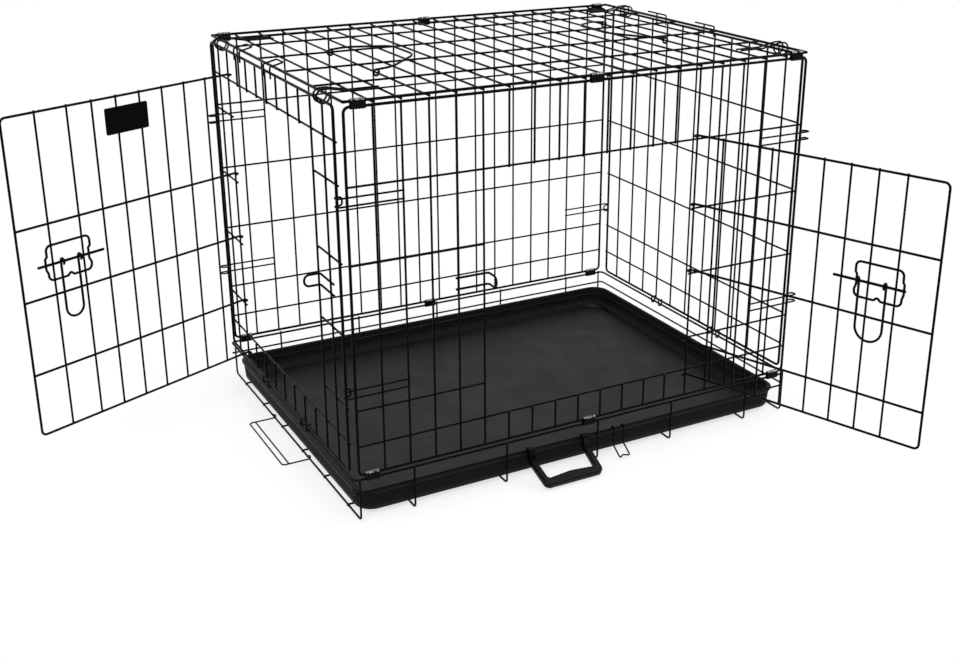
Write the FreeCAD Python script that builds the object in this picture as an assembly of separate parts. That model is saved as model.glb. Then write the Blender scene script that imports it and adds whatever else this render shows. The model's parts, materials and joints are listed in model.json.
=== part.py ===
import FreeCAD, Part

import math
import os

os.makedirs("parts", exist_ok=True)

# Folding wire dog crate with two doors and a slide-out tray. Millimetres, +Z up.
# The origin is the centre of the crate's footprint on the floor. The front faces -Y,
# and the end with the second door faces -X.

# Wire sizes
FRAME_DIA = 3.2
RIM_DIA = 2.8
GRID_DIA = 2.4
DOOR_DIA = 2.8
HOOK_DIA = 2.1
WELD_SINK = 0.3
RUN_GAP = 0.4
LOOP_GAP = 0.3
SEAT_GAP = 0.05

# Front and back panels
FRONT_PITCH = 31.2
FRONT_PITCHES = 19
DEPTH = 446.0
PANEL_BOTTOM = 57.5
PANEL_TOP = 467.5
SILL_Z = 91.0
HEADER_Z = 384.5
LEVELS = (134.0, 217.5, 300.0)
DOORWAY_FROM = 5
DOORWAY_TO = 14
CORNER_BEND = 6.0

# End panels
END_PITCHES = 12
END_INSET = 7.0
END_EDGE_SET = 6.0
END_STAND_OFF = 5.9
END_HEADER_DROP = 37.5
END_DOOR_FROM = 2
END_DOOR_TO = 10
END_LOOPS_Y = (-70.0, 70.0)

# Hinge clips that wrap two wires
CLIP_SPACING = 5.7
CLIP_LENGTH = 16.0
CLIP_SHEET = 0.7

# Roof
ROOF_LONG_GAPS = 5
BAIL_WIRE_STEPS = 3
BAIL_REACH = 64.0
BAIL_SHOULDER = 38.0
BAIL_BEND = 28.0
BAIL_NECK = 20.0
BAIL_DIA = 2.6
BAIL_EYE = 3.3
BAIL_EYE_SWEEP = 320.0
LEFT_BAIL_Y = (-87.0, 53.0)
RIGHT_BAIL_Y = (-63.0, 81.0)

# Spring hooks at the corners
HOOK_PAIR_GAP = 9.0
HOOK_STEPS = 2
FRONT_HOOK_LEVELS = (157.5, 371.0)
BACK_HOOK_LEVELS = (159.0, 366.0)
HOOK_OVERHANG = 6.3
HOOK_RETURN = 7.2
HOOK_BACK = 2.2
HOOK_TURN = 3.0
HOOK_BEND = 2.4
ROOF_HOOK_Y = 172.0
ROOF_HOOK_RING = 7.2
ROOF_HOOK_SWEEP = 300.0
ROOF_HOOK_KNEE = 0.9
STOP_Y = (-18.0, 92.0)
STOP_WIDTH = 22.0
STOP_REACH = 7.0
STOP_RISE = 4.0
STOP_DROP = 5.0

# Doors
FRONT_DOOR_WIDTH = 306.0
FRONT_DOOR_RAILS = (84.5, 129.0, 222.0, 305.3, 388.7)
FRONT_DOOR_BARS = (1.0, 2.0, 3.0, 4.0, 5.0, 6.0, 7.0, 8.0, 9.45)
FRONT_DOOR_OPEN = 110.0
END_DOOR_WIDTH = 306.5
END_DOOR_RAILS = (66.0, 140.5, 228.0, 311.5)
END_DOOR_LAP = 7.0
END_DOOR_BARS = (1.0, 2.0, 3.0, 4.0, 5.0, 6.0, 7.0, 8.24, 9.55)
END_DOOR_OPEN = 66.5
DOOR_CORNER = 6.0
EYE_SWEEP = 235.0

# Slide-bolt latches, with places counted back from the door's free edge
GUIDE_WIDTH = 56.0
GUIDE_HEIGHT = 41.0
GUIDE_RAISE = 2.0
GUIDE_DIA = 2.8
GUIDE_BEND = 6.0
GUIDE_NOTCH = 4.0
KINK_BEND = 2.4
KINK_HALF = 6.0
ROD_DIA = 3.2
ROD_LENGTH = 86.0
PULL_DIA = 2.8
PULL_LENGTH = 70.0
FRONT_LATCH_Z = 259.5
FRONT_GUIDE_BACK = 96.5
FRONT_ROD_BACK = 123.0
FRONT_PULL_BACK = (93.4, 61.0)
FRONT_CATCH_BACK = 32.0
FRONT_CATCH_IN = 6.8
END_LATCH_Z = 262.0
END_GUIDE_BACK = 93.0
END_ROD_BACK = 111.0
END_PULL_BACK = (78.9, 56.4)
END_CATCH_BACK = 21.5
END_CATCH_IN = 3.0
CATCH_DIA = 2.6
CATCH_REACH = 16.0
CATCH_HALF = 6.5
CATCH_BEND = 3.0
CATCH_ROUND = 6.0

# Bare plate on the end door
PLATE_SIZE = (58.0, 31.0)
PLATE_SHEET = 1.2
PLATE_OUT = 149.0
PLATE_DROP = 27.5
PLATE_CORNER = 2.0

# Base
BASE_CROSS_X = (-297.0, -231.0, -113.0, 12.0, 120.0, 237.0, 297.0)
BASE_LONG_Y = (-186.0, -111.6, -37.2, 37.2, 111.6, 186.0)
LOWER_RIM_Z = 35.5
RIM_CORNER = 6.0
FOOT_BEND = 5.0

# Tray
TRAY_END_GAP = 6.0
TRAY_SIDE_GAP = 3.5
TRAY_TAPER = 2.0
TRAY_HEIGHT = 26.0
TRAY_WALL = 2.4
TRAY_LIP = 1.5
TRAY_CORNER = 22.0
TRAY_STEP = 13.0
TRAY_STEP_RISE = 9.0
TRAY_FLOOR = 3.2
TRAY_GROOVE = 8.0
TRAY_GROOVE_RISE = 2.0
TRAY_FOOT_ROUND = 4.0

# Tray stop, a loop of wire hinged on the end floor wire
TRAY_STOP_Y = (-58.0, 70.0)
TRAY_STOP_LENGTH = 33.0
TRAY_STOP_BAR = 8.0
TRAY_STOP_DIA = 1.8
TRAY_STOP_BEND = 4.0
TRAY_STOP_GAP = 0.25

# Carry handle and fold hook
HANDLE_X = -43.0
HANDLE_SPAN = 75.0
HANDLE_STRAP = 14.0
HANDLE_STRAP_IN = 0.6
HANDLE_STRAP_OUT = 5.4
HANDLE_LENGTH = 43.0
HANDLE_THICK = 8.0
HANDLE_ARM = 8.0
HANDLE_GRIP = 14.0
HANDLE_TAPER = 2.0
HANDLE_DROOP = 22.0
HANDLE_EAR = 7.4
HANDLE_SWELL = 3.0
HANDLE_ROUND = 2.2
HANDLE_END_BEND = 3.0
HANDLE_TIP_BEND = 8.0
HANDLE_NECK_BEND = 3.0
HANDLE_SWELL_BEND = 60.0
FOLD_HOOK_X = 42.0
FOLD_HOOK_WIDTH = 14.5
FOLD_HOOK_DROP = 21.0
FOLD_HOOK_REACH = 16.0
FOLD_HOOK_TOE = 10.5
FOLD_HOOK_DENT = 5.0
FOLD_HOOK_DIA = 1.9
FOLD_HOOK_KNEE = 4.0
FOLD_HOOK_BEND = 1.6

# Derived placements
FRAME_R = FRAME_DIA / 2
RIM_R = RIM_DIA / 2
GRID_R = GRID_DIA / 2
DOOR_R = DOOR_DIA / 2
HOOK_R = HOOK_DIA / 2
HALF_LENGTH = FRONT_PITCH * FRONT_PITCHES / 2
HALF_DEPTH = DEPTH / 2
GRID_LAYER = GRID_DIA - WELD_SINK
END_X = HALF_LENGTH + END_STAND_OFF
END_HALF = HALF_DEPTH - END_INSET
END_PITCH = 2 * END_HALF / END_PITCHES
END_EDGE = END_HALF - END_EDGE_SET
RIM_Z = PANEL_BOTTOM - CLIP_SPACING
ROOF_Z = PANEL_TOP + CLIP_SPACING
ROOF_CROSS_Z = ROOF_Z - FRAME_R - GRID_R + WELD_SINK
ROOF_LONG_Z = ROOF_CROSS_Z + GRID_LAYER
ROOF_LONG_PITCH = DEPTH / ROOF_LONG_GAPS
END_BOTTOM = RIM_Z + CLIP_SPACING
END_TOP = PANEL_TOP
END_HEADER_Z = END_TOP - END_HEADER_DROP
END_DOOR_TOP = END_HEADER_Z + END_DOOR_LAP
UPRIGHT_Y = HALF_DEPTH + RIM_R + GRID_R - WELD_SINK
LOWER_RIM_Y = UPRIGHT_Y - GRID_LAYER
LONG_FLOOR_Z = GRID_R + GRID_LAYER
RAIL_OUT = GRID_R + RUN_GAP + DOOR_R
BAR_OUT = RAIL_OUT + DOOR_R + GRID_R - WELD_SINK
BAR_FACE = BAR_OUT + GRID_R
FRONT_HINGE = (-HALF_LENGTH + FRONT_PITCH * DOORWAY_TO, -HALF_DEPTH)
END_HINGE = (-END_X, -END_HALF + END_PITCH * END_DOOR_TO)
CLIP_X = (-9 * FRONT_PITCH, 0.0, 9 * FRONT_PITCH)
ROD_OUT = BAR_FACE + RUN_GAP + ROD_DIA / 2
PULL_EYE = ROD_DIA / 2 + RUN_GAP + PULL_DIA / 2
STOP_EYE = GRID_R + TRAY_STOP_GAP + TRAY_STOP_DIA / 2
STOP_WIRE_Z = STOP_EYE + TRAY_STOP_DIA / 2 + SEAT_GAP
TRAY_Z = max(LONG_FLOOR_Z, STOP_WIRE_Z) + GRID_R + RUN_GAP
TRAY_TOP = (2 * (END_X - TRAY_END_GAP), DEPTH - 2 * TRAY_SIDE_GAP)

Z_AXIS = FreeCAD.Vector(0, 0, 1)


def vec(x, y, z):
    return FreeCAD.Vector(x, y, z)


def rod(start, end, dia):
    """A straight round wire between two points."""
    a = vec(*start)
    run = vec(*end) - a
    return Part.makeCylinder(dia / 2, run.Length, a, run)


def sweep_wire(edges, dia):
    """A round wire along a chain of edges that meet smoothly."""
    first = edges[0]
    start = first.valueAt(first.FirstParameter)
    heading = first.tangentAt(first.FirstParameter)
    ring = Part.Wire(Part.makeCircle(dia / 2, start, heading))
    return Part.Wire(edges).makePipeShell([ring], True, False)


def bend_edges(points, bend, closed=False):
    """Lines through the points with a round bend at each corner, of one or of listed radii."""
    pts = [vec(*p) for p in points]
    count = len(pts)
    radii = list(bend) if isinstance(bend, (list, tuple)) else [bend] * count
    starts = []
    ends = []
    arcs = []
    for i, here in enumerate(pts):
        if not closed and i in (0, count - 1):
            starts.append(here)
            ends.append(here)
            arcs.append(None)
            continue
        back = (pts[i - 1] - here).normalize()
        ahead = (pts[(i + 1) % count] - here).normalize()
        opening = back.getAngle(ahead)
        trim = radii[i] / math.tan(opening / 2)
        middle = (back + ahead).normalize()
        crown = here + middle * (radii[i] / math.sin(opening / 2) - radii[i])
        starts.append(here + back * trim)
        ends.append(here + ahead * trim)
        arcs.append(Part.Arc(starts[-1], crown, ends[-1]).toShape())
    edges = []
    runs = count if closed else count - 1
    for i in range(runs):
        j = (i + 1) % count
        if arcs[i] is not None and not (closed and i == 0):
            edges.append(arcs[i])
        if (starts[j] - ends[i]).Length > 1e-6:
            edges.append(Part.makeLine(ends[i], starts[j]))
    if closed:
        edges.append(arcs[0])
    return edges


def in_runs(edges, dia):
    """A bent wire as one solid for each straight run and each bend."""
    return [sweep_wire([edge], dia) for edge in edges]


def bent(points, bend, dia, closed=False):
    """A round wire bent through the given points."""
    return sweep_wire(bend_edges(points, bend, closed), dia)


def arc_edge(centre, radius, start_deg, sweep_deg, across, up):
    """An arc in the plane of two unit vectors, from one angle through a sweep."""
    spots = []
    for share in (0.0, 0.5, 1.0):
        turn = math.radians(start_deg + sweep_deg * share)
        spots.append(centre + across * (radius * math.cos(turn)) + up * (radius * math.sin(turn)))
    return Part.Arc(*spots).toShape()


def eyed_edges(points, bend, eye, side, both=True, turn=EYE_SWEEP):
    """A bent line that starts, and may end, in an open eye round a hinge wire.

    The first point lies above the hinge wire, on the side given by a unit vector.
    """
    spots = [vec(*p) for p in points]
    ahead = (spots[1] - spots[0]).normalize()
    edges = [arc_edge(spots[0] - side * eye, eye, 90 + turn, -turn, ahead, side)]
    edges += bend_edges(points, bend)
    if both:
        behind = (spots[-2] - spots[-1]).normalize()
        edges.append(arc_edge(spots[-1] - side * eye, eye, 90, turn, behind, side))
    return edges


def eyed_wire(points, bend, dia, eye, side, turn=EYE_SWEEP):
    """A round wire along such a line, with an eye at each end."""
    return sweep_wire(eyed_edges(points, bend, eye, side, turn=turn), dia)


def group(shapes):
    return Part.makeCompound(shapes)


def save(name, shapes):
    group(shapes).exportStep("parts/" + name + ".step")


def grid_x(step):
    """Position of a front or back panel vertical, counted from the left edge."""
    return -HALF_LENGTH + FRONT_PITCH * step


def grid_y(step):
    """Position of an end panel vertical, counted from the front edge."""
    return -END_HALF + END_PITCH * step


def long_panel(y, inward, doorway):
    """A front or back panel: a bent perimeter wire, verticals and inner horizontals."""
    low = PANEL_BOTTOM
    high = PANEL_TOP
    corners = [(-HALF_LENGTH, y, low), (HALF_LENGTH, y, low)]
    corners += [(HALF_LENGTH, y, high), (-HALF_LENGTH, y, high)]
    wires = in_runs(bend_edges(corners, CORNER_BEND, closed=True), FRAME_DIA)
    inner = y + inward * GRID_LAYER
    left = grid_x(0)
    right = grid_x(FRONT_PITCHES)
    for step in range(1, FRONT_PITCHES):
        x = grid_x(step)
        if doorway and DOORWAY_FROM < step < DOORWAY_TO:
            wires.append(rod((x, y, low), (x, y, SILL_Z + GRID_R), GRID_DIA))
            wires.append(rod((x, y, HEADER_Z - GRID_R), (x, y, high), GRID_DIA))
        else:
            wires.append(rod((x, y, low), (x, y, high), GRID_DIA))
    for z in (SILL_Z, HEADER_Z):
        wires.append(rod((left, inner, z), (right, inner, z), GRID_DIA))
    for z in LEVELS:
        if doorway:
            wires.append(rod((left, inner, z), (grid_x(DOORWAY_FROM) + GRID_R, inner, z), GRID_DIA))
            wires.append(rod((grid_x(DOORWAY_TO) - GRID_R, inner, z), (right, inner, z), GRID_DIA))
        else:
            wires.append(rod((left, inner, z), (right, inner, z), GRID_DIA))
    return wires


def end_panel(x, inward, doorway):
    """An end panel, small enough to swing in between the long panels."""
    low = END_BOTTOM
    high = END_TOP
    corners = [(x, -END_EDGE, low), (x, END_EDGE, low), (x, END_EDGE, high), (x, -END_EDGE, high)]
    wires = in_runs(bend_edges(corners, CORNER_BEND, closed=True), FRAME_DIA)
    inner = x + inward * GRID_LAYER
    front = -END_EDGE
    back = END_EDGE
    for step in range(1, END_PITCHES):
        y = grid_y(step)
        if doorway and END_DOOR_FROM < step < END_DOOR_TO:
            wires.append(rod((x, y, low), (x, y, SILL_Z + GRID_R), GRID_DIA))
            wires.append(rod((x, y, END_HEADER_Z - GRID_R), (x, y, high), GRID_DIA))
        else:
            wires.append(rod((x, y, low), (x, y, high), GRID_DIA))
    full = [SILL_Z]
    if doorway:
        full.append(END_HEADER_Z)
    for z in full:
        wires.append(rod((inner, front, z), (inner, back, z), GRID_DIA))
    for z in LEVELS + (HEADER_Z,):
        if doorway:
            stop_front = grid_y(END_DOOR_FROM) + GRID_R
            stop_back = grid_y(END_DOOR_TO) - GRID_R
            wires.append(rod((inner, front, z), (inner, stop_front, z), GRID_DIA))
            wires.append(rod((inner, stop_back, z), (inner, back, z), GRID_DIA))
        else:
            wires.append(rod((inner, front, z), (inner, back, z), GRID_DIA))
    return wires


def hinge_loops(x):
    """Hairpins under an end panel that ride on the end wire of the rim."""
    side = RIM_R + LOOP_GAP + HOOK_R
    loops = []
    for y in END_LOOPS_Y:
        for shift in (-END_PITCH / 4, END_PITCH / 4):
            top = END_BOTTOM + FRAME_R
            edges = [Part.makeLine(vec(x - side, y + shift, top), vec(x - side, y + shift, RIM_Z))]
            across = vec(1, 0, 0)
            edges.append(arc_edge(vec(x, y + shift, RIM_Z), side, 180, 180, across, Z_AXIS))
            edges.append(Part.makeLine(vec(x + side, y + shift, RIM_Z), vec(x + side, y + shift, top)))
            loops.append(sweep_wire(edges, HOOK_DIA))
    return loops


def clip(x, y, z):
    """A sheet clip folded round two parallel wires, the lower one at z."""
    reach = FRAME_R + RUN_GAP
    skins = []
    for out in (reach + CLIP_SHEET, reach):
        right = vec(x - CLIP_LENGTH / 2, y + out, z)
        left = vec(x - CLIP_LENGTH / 2, y - out, z)
        edges = [arc_edge(vec(right.x, y, z), out, 180, 180, vec(0, 1, 0), Z_AXIS)]
        edges.append(Part.makeLine(right, right + Z_AXIS * CLIP_SPACING))
        edges.append(arc_edge(vec(right.x, y, z + CLIP_SPACING), out, 0, 180, vec(0, 1, 0), Z_AXIS))
        edges.append(Part.makeLine(left + Z_AXIS * CLIP_SPACING, left))
        skins.append(Part.Face(Part.Wire(edges)).extrude(vec(CLIP_LENGTH, 0, 0)))
    return skins[0].cut(skins[1])


def corner_hooks(y, outward, levels):
    """Spring hairpins along a long panel whose closed ends turn back round its corners."""
    leg_y = y + outward * (FRAME_R + HOOK_R + SEAT_GAP)
    back_y = leg_y - outward * HOOK_RETURN
    far = END_X + HOOK_OVERHANG
    near = END_X - HOOK_BACK
    hooks = []
    for side in (-1, 1):
        start = side * (HALF_LENGTH - FRONT_PITCH * HOOK_STEPS)
        for level in levels:
            low = level - HOOK_PAIR_GAP / 2
            high = level + HOOK_PAIR_GAP / 2
            path = [(start, leg_y, low), (side * far, leg_y, low), (side * far, back_y, low)]
            path += [(side * near, back_y, low), (side * near, back_y, high)]
            path += [(side * far, back_y, high), (side * far, leg_y, high), (start, leg_y, high)]
            hooks += in_runs(bend_edges(path, HOOK_TURN), HOOK_DIA)
    return hooks


def roof_hooks():
    """Pairs of spring wires on the roof that end in rings round the top of the end panels."""
    low = ROOF_CROSS_Z + GRID_R + HOOK_R + SEAT_GAP
    middle_x = (HALF_LENGTH + END_X) / 2
    middle_z = (ROOF_Z + END_TOP) / 2
    high = middle_z + ROOF_HOOK_RING
    hooks = []
    for side in (-1, 1):
        start = side * (HALF_LENGTH - FRONT_PITCH * HOOK_STEPS)
        knee = side * (HALF_LENGTH - FRONT_PITCH * ROOF_HOOK_KNEE)
        crest = side * (middle_x - ROOF_HOOK_RING)
        for end in (-1, 1):
            for shift in (-HOOK_PAIR_GAP / 2, HOOK_PAIR_GAP / 2):
                y = end * ROOF_HOOK_Y + shift
                path = [(start, y, low), (knee, y, low), (crest, y, high), (side * middle_x, y, high)]
                edges = bend_edges(path, HOOK_BEND)
                centre = vec(side * middle_x, y, middle_z)
                ring = arc_edge(centre, ROOF_HOOK_RING, 90, -ROOF_HOOK_SWEEP, vec(side, 0, 0), Z_AXIS)
                hooks.append(sweep_wire(edges + [ring], HOOK_DIA))
    return hooks


def roof_stops():
    """Lift tabs over the roof's end wires whose legs stop the end panels at upright."""
    low = ROOF_Z + FRAME_R + HOOK_R + SEAT_GAP
    high = low + STOP_RISE
    out = END_X + FRAME_R + HOOK_R + RUN_GAP
    back = HALF_LENGTH - STOP_REACH
    stops = []
    for side in (-1, 1):
        for y in STOP_Y:
            front = y - STOP_WIDTH / 2
            rear = y + STOP_WIDTH / 2
            path = [(side * out, front, END_TOP - STOP_DROP), (side * out, front, low)]
            path += [(side * back, front, high), (side * back, rear, high)]
            path += [(side * out, rear, low), (side * out, rear, END_TOP - STOP_DROP)]
            stops.append(bent(path, HOOK_BEND, HOOK_DIA))
    return stops


def roof_panel():
    """The roof: four border wires, cross wires under them, long wires on the cross wires."""
    wires = []
    for y in (-HALF_DEPTH, HALF_DEPTH):
        wires.append(rod((-HALF_LENGTH, y, ROOF_Z), (HALF_LENGTH, y, ROOF_Z), FRAME_DIA))
    for x in (-HALF_LENGTH, HALF_LENGTH):
        wires.append(rod((x, -HALF_DEPTH, ROOF_Z), (x, HALF_DEPTH, ROOF_Z), FRAME_DIA))
    tail = HALF_DEPTH + FRAME_R
    for step in range(1, FRONT_PITCHES):
        x = grid_x(step)
        wires.append(rod((x, -tail, ROOF_CROSS_Z), (x, tail, ROOF_CROSS_Z), GRID_DIA))
    for step in range(1, ROOF_LONG_GAPS):
        y = -HALF_DEPTH + ROOF_LONG_PITCH * step
        wires.append(rod((-HALF_LENGTH, y, ROOF_LONG_Z), (HALF_LENGTH, y, ROOF_LONG_Z), GRID_DIA))
    return wires


def bail(x, aim, span):
    """A wire bow with an eye at each end round one cross wire of the roof."""
    eye = BAIL_EYE
    lie = ROOF_LONG_Z + GRID_R + RUN_GAP + BAIL_DIA / 2
    front, rear = span
    path = [(0, front, eye), (BAIL_NECK, front, eye), (BAIL_REACH, front + BAIL_SHOULDER, eye)]
    path += [(BAIL_REACH, rear - BAIL_SHOULDER, eye), (BAIL_NECK, rear, eye), (0, rear, eye)]
    bow = eyed_wire(path, BAIL_BEND, BAIL_DIA, eye, Z_AXIS, BAIL_EYE_SWEEP)
    lean = math.degrees(math.atan2(lie - ROOF_CROSS_Z - eye, BAIL_NECK))
    bow.rotate(vec(0, 0, 0), vec(0, 1, 0), -lean)
    if aim < 0:
        bow = bow.mirror(vec(0, 0, 0), vec(1, 0, 0))
    bow.translate(vec(x, 0, ROOF_CROSS_Z))
    return [bow]


def door_local(width, rails, bars, pitch, side):
    """A door about its hinge line: u along X, outward along side times Y."""
    low = rails[0]
    high = rails[-1]
    out = side * RAIL_OUT
    outward = vec(0, side, 0)
    path = [(0, out, high), (width, out, high), (width, out, low), (0, out, low)]
    frame = in_runs(eyed_edges(path, DOOR_CORNER, RAIL_OUT, outward), DOOR_DIA)
    for z in rails[1:-1]:
        path = [(0, out, z), (width, out, z)]
        frame += in_runs(eyed_edges(path, DOOR_CORNER, RAIL_OUT, outward, both=False), DOOR_DIA)
    for bar in bars:
        u = bar * pitch
        y = side * BAR_OUT
        frame.append(rod((u, y, low - DOOR_R), (u, y, high + DOOR_R), GRID_DIA))
    return frame


def latch_guide(left, z, side):
    """A closed wire loop on the door bars, kinked outward where the rod runs under it."""
    flat = side * (BAR_FACE + GUIDE_DIA / 2 + SEAT_GAP)
    proud = side * (ROD_OUT + ROD_DIA / 2 + RUN_GAP + GUIDE_DIA / 2)
    right = left + GUIDE_WIDTH
    middle = (left + right) / 2
    low = z + GUIDE_RAISE - GUIDE_HEIGHT / 2
    high = z + GUIDE_RAISE + GUIDE_HEIGHT / 2
    ramp = KINK_HALF + abs(proud - flat)
    path = [(left, flat, low), (left, flat, z - ramp), (left, proud, z - KINK_HALF)]
    path += [(left, proud, z + KINK_HALF), (left, flat, z + ramp), (left, flat, high)]
    path += [(right, flat, high), (right, flat, z + ramp), (right, proud, z + KINK_HALF)]
    path += [(right, proud, z - KINK_HALF), (right, flat, z - ramp), (right, flat, low)]
    path += [(middle + GUIDE_NOTCH, flat, low), (middle, flat, low + GUIDE_NOTCH)]
    path.append((middle - GUIDE_NOTCH, flat, low))
    corner = [GUIDE_BEND]
    kink = [KINK_BEND] * 4
    notch = [KINK_BEND] * 3
    return [bent(path, corner + kink + corner * 2 + kink + corner + notch, GUIDE_DIA, closed=True)]


def latch_bolt(start, z, side):
    """The sliding rod of a latch."""
    y = side * ROD_OUT
    return [rod((start, y, z), (start + ROD_LENGTH, y, z), ROD_DIA)]


def latch_pull(legs, z, side):
    """A finger pull that hangs from the rod by two eyes between the door bars."""
    left, right = legs
    face = side * (ROD_OUT + PULL_EYE)
    foot = z - PULL_LENGTH
    path = [(left, face, z), (left, face, foot), (right, face, foot), (right, face, z)]
    return [eyed_wire(path, (right - left) / 2 - SEAT_GAP, PULL_DIA, PULL_EYE, vec(0, side, 0))]


def door_catch(at, z, side, tail):
    """A loop behind two panel verticals whose closed end turns out through the door."""
    inner = -side * (GRID_R + CATCH_DIA / 2 + SEAT_GAP)
    tip = side * CATCH_REACH
    low = z - CATCH_HALF
    high = z + CATCH_HALF
    path = [(tail, inner, low), (at, inner, low), (at, tip, low)]
    path += [(at, tip, high), (at, inner, high), (tail, inner, high)]
    bends = [0, CATCH_BEND, CATCH_ROUND, CATCH_ROUND, CATCH_BEND, 0]
    return [bent(path, bends, CATCH_DIA)]


def bare_plate(side):
    """A thin plate clipped flat behind the door bars."""
    wide, tall = PLATE_SIZE
    u = PLATE_OUT
    z = END_DOOR_TOP - PLATE_DROP
    y = side * (BAR_OUT - GRID_R - SEAT_GAP)
    corner = vec(u - wide / 2, min(y, y - side * PLATE_SHEET), z - tall / 2)
    slab = Part.makeBox(wide, PLATE_SHEET, tall, corner)
    upright = [e for e in slab.Edges if abs(e.tangentAt(e.FirstParameter).y) > 0.9]
    return [slab.makeFillet(PLATE_CORNER, upright)]


def placed(shapes, hinge, turn):
    """Shapes made about a door's hinge line, turned and set at the hinge."""
    for shape in shapes:
        shape.rotate(vec(0, 0, 0), Z_AXIS, turn)
        shape.translate(vec(hinge[0], hinge[1], 0))
    return shapes


def rounded_wire(wide, deep, corner, z):
    """A flat outline with four round corners, centred on the origin."""
    x = wide / 2
    y = deep / 2
    points = [(-x, -y, z), (x, -y, z), (x, y, z), (-x, y, z)]
    return Part.Wire(bend_edges(points, corner, closed=True))


def tray():
    """A moulded tray with tapered walls, a stepped border and a turned-out lip."""
    wide, deep = TRAY_TOP
    low = TRAY_Z
    high = low + TRAY_HEIGHT
    step = low + TRAY_STEP_RISE
    lip = 2 * TRAY_LIP
    foot = lip + 2 * TRAY_TAPER
    outer = [rounded_wire(wide - foot, deep - foot, TRAY_CORNER, low)]
    outer.append(rounded_wire(wide - lip, deep - lip, TRAY_CORNER, high))
    body = Part.makeLoft(outer, True, True)
    body = body.makeFillet(TRAY_FOOT_ROUND, [e for e in body.Edges if e.BoundBox.ZMax < low + SEAT_GAP])
    rim = Part.Face(rounded_wire(wide, deep, TRAY_CORNER, high - TRAY_WALL))
    body = body.fuse(rim.extrude(vec(0, 0, TRAY_WALL)))
    thick = 2 * TRAY_WALL
    waist = foot - 2 * TRAY_TAPER * TRAY_STEP_RISE / TRAY_HEIGHT
    upper = [rounded_wire(wide - waist - thick, deep - waist - thick, TRAY_CORNER, step)]
    upper.append(rounded_wire(wide - lip - thick, deep - lip - thick, TRAY_CORNER, high))
    shelf = waist + thick + 2 * TRAY_STEP
    sunk = [rounded_wire(wide - shelf - thick, deep - shelf - thick, TRAY_CORNER, low + TRAY_FLOOR)]
    sunk.append(rounded_wire(wide - shelf, deep - shelf, TRAY_CORNER, step))
    body = body.cut(Part.makeLoft(upper, True, True))
    body = body.cut(Part.makeLoft(sunk, True, True))
    for y in TRAY_STOP_Y:
        corner = vec(-wide / 2, y - TRAY_GROOVE / 2, low - TRAY_FLOOR)
        body = body.cut(Part.makeBox(wide, TRAY_GROOVE, TRAY_FLOOR + TRAY_GROOVE_RISE, corner))
    return [body.removeSplitter()]


def base_frame():
    """The base: an upper and a lower rim, cross wires turned up at both sides, floor wires."""
    corners = [(-END_X, -HALF_DEPTH), (END_X, -HALF_DEPTH), (END_X, HALF_DEPTH), (-END_X, HALF_DEPTH)]
    upper = [(x, y, RIM_Z) for x, y in corners]
    wires = in_runs(bend_edges(upper, RIM_CORNER, closed=True), RIM_DIA)
    corners = [(-END_X, -LOWER_RIM_Y), (END_X, -LOWER_RIM_Y), (END_X, LOWER_RIM_Y), (-END_X, LOWER_RIM_Y)]
    lower = [(x, y, LOWER_RIM_Z) for x, y in corners]
    wires += in_runs(bend_edges(lower, RIM_CORNER), GRID_DIA)
    top = RIM_Z + RIM_R
    for x in BASE_CROSS_X:
        floor = STOP_WIRE_Z if x == BASE_CROSS_X[0] else GRID_R
        path = [(x, -UPRIGHT_Y, top), (x, -UPRIGHT_Y, floor), (x, UPRIGHT_Y, floor), (x, UPRIGHT_Y, top)]
        wires += in_runs(bend_edges(path, FOOT_BEND), GRID_DIA)
    for y in BASE_LONG_Y:
        wires.append(rod((BASE_CROSS_X[0], y, LONG_FLOOR_Z), (BASE_CROSS_X[-1], y, LONG_FLOOR_Z), GRID_DIA))
    return wires


def tray_stop():
    """A long loop of wire with two eyes round the end floor wire, lying on the floor."""
    x = BASE_CROSS_X[0]
    front, rear = TRAY_STOP_Y
    lie = STOP_WIRE_Z - STOP_EYE
    far = x - TRAY_STOP_LENGTH
    near = far + TRAY_STOP_BAR
    path = [(x, front, lie), (far, front, lie), (far, rear, lie), (x, rear, lie)]
    loop = eyed_wire(path, TRAY_STOP_BEND, TRAY_STOP_DIA, STOP_EYE, vec(0, 0, -1))
    return [loop, rod((near, front, lie), (near, rear, lie), TRAY_STOP_DIA)]


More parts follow.
